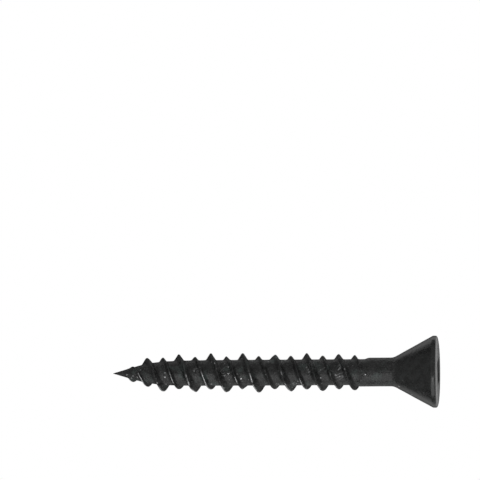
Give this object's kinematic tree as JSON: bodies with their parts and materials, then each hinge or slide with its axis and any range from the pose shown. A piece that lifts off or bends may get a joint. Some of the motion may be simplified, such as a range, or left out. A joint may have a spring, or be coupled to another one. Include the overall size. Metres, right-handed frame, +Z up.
{
  "type": "wood screw",
  "caption": "Black countersunk wood screw with a steep conical head, square drive recess, short plain shank, high and low two-start thread and needle point.",
  "frame": {"origin": "on the screw's axis, halfway between the tip and the head's face", "axes": "+X along the axis towards the head, +Z up with the screw lying on its side, +Y across it"},
  "size_m": [0.0382, 0.0084, 0.0084],
  "materials": {
    "black_phosphate": "black phosphate on steel, lightly oiled, semi-matt, rubbed bright in places on the thread crests"
  },
  "bodies": {
    "root": {"screw": "black_phosphate"}
  },
  "joints": []
}
